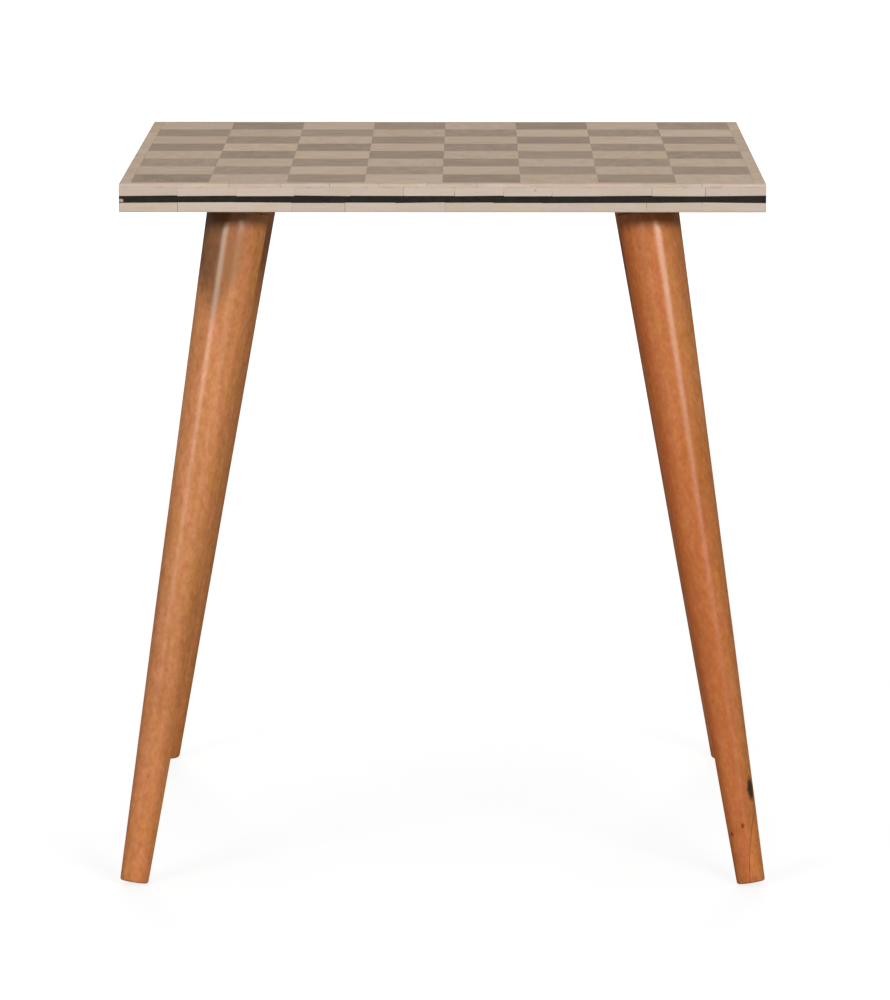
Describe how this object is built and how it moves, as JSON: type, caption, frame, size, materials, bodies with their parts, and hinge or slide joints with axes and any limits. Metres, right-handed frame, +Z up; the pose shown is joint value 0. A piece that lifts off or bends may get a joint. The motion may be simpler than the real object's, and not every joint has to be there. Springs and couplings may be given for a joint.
{
  "type": "checkerboard end table",
  "caption": "Square end table with a bone-inlaid checkerboard top, a black line round its edge and splayed, turned, tapered wooden legs that screw into angled plates.",
  "frame": {"origin": "on the floor, under the middle of the square top", "axes": "+Z up, -Y towards the front edge that the picture faces, +X to the right as seen from the front"},
  "size_m": [0.4572, 0.4572, 0.5],
  "materials": {
    "pale_bone": "satin",
    "grey_bone": "satin",
    "black_resin": "satin",
    "core_wood": "matte",
    "leg_wood": "satin",
    "black_steel": "satin",
    "zinc_steel": "satin"
  },
  "bodies": {
    "root": {"core_board": "core_wood", "dark_squares": "grey_bone", "light_squares": "pale_bone", "top_border_front": "pale_bone", "upper_edge_band_front": "pale_bone", "black_edge_line_front": "black_resin", "lower_edge_band_front": "pale_bone", "top_border_right": "pale_bone", "upper_edge_band_right": "pale_bone", "black_edge_line_right": "black_resin", "lower_edge_band_right": "pale_bone", "top_border_back": "pale_bone", "upper_edge_band_back": "pale_bone", "black_edge_line_back": "black_resin", "lower_edge_band_back": "pale_bone", "top_border_left": "pale_bone", "upper_edge_band_left": "pale_bone", "black_edge_line_left": "black_resin", "lower_edge_band_left": "pale_bone", "leg_front_left": "leg_wood", "hanger_bolt_front_left": "zinc_steel", "angled_bush_front_left": "zinc_steel", "leg_plate_front_left": "black_steel", "plate_screws_front_left": "zinc_steel", "leg_front_right": "leg_wood", "hanger_bolt_front_right": "zinc_steel", "angled_bush_front_right": "zinc_steel", "leg_plate_front_right": "black_steel", "plate_screws_front_right": "zinc_steel", "leg_back_left": "leg_wood", "hanger_bolt_back_left": "zinc_steel", "angled_bush_back_left": "zinc_steel", "leg_plate_back_left": "black_steel", "plate_screws_back_left": "zinc_steel", "leg_back_right": "leg_wood", "hanger_bolt_back_right": "zinc_steel", "angled_bush_back_right": "zinc_steel", "leg_plate_back_right": "black_steel", "plate_screws_back_right": "zinc_steel"}
  },
  "joints": []
}
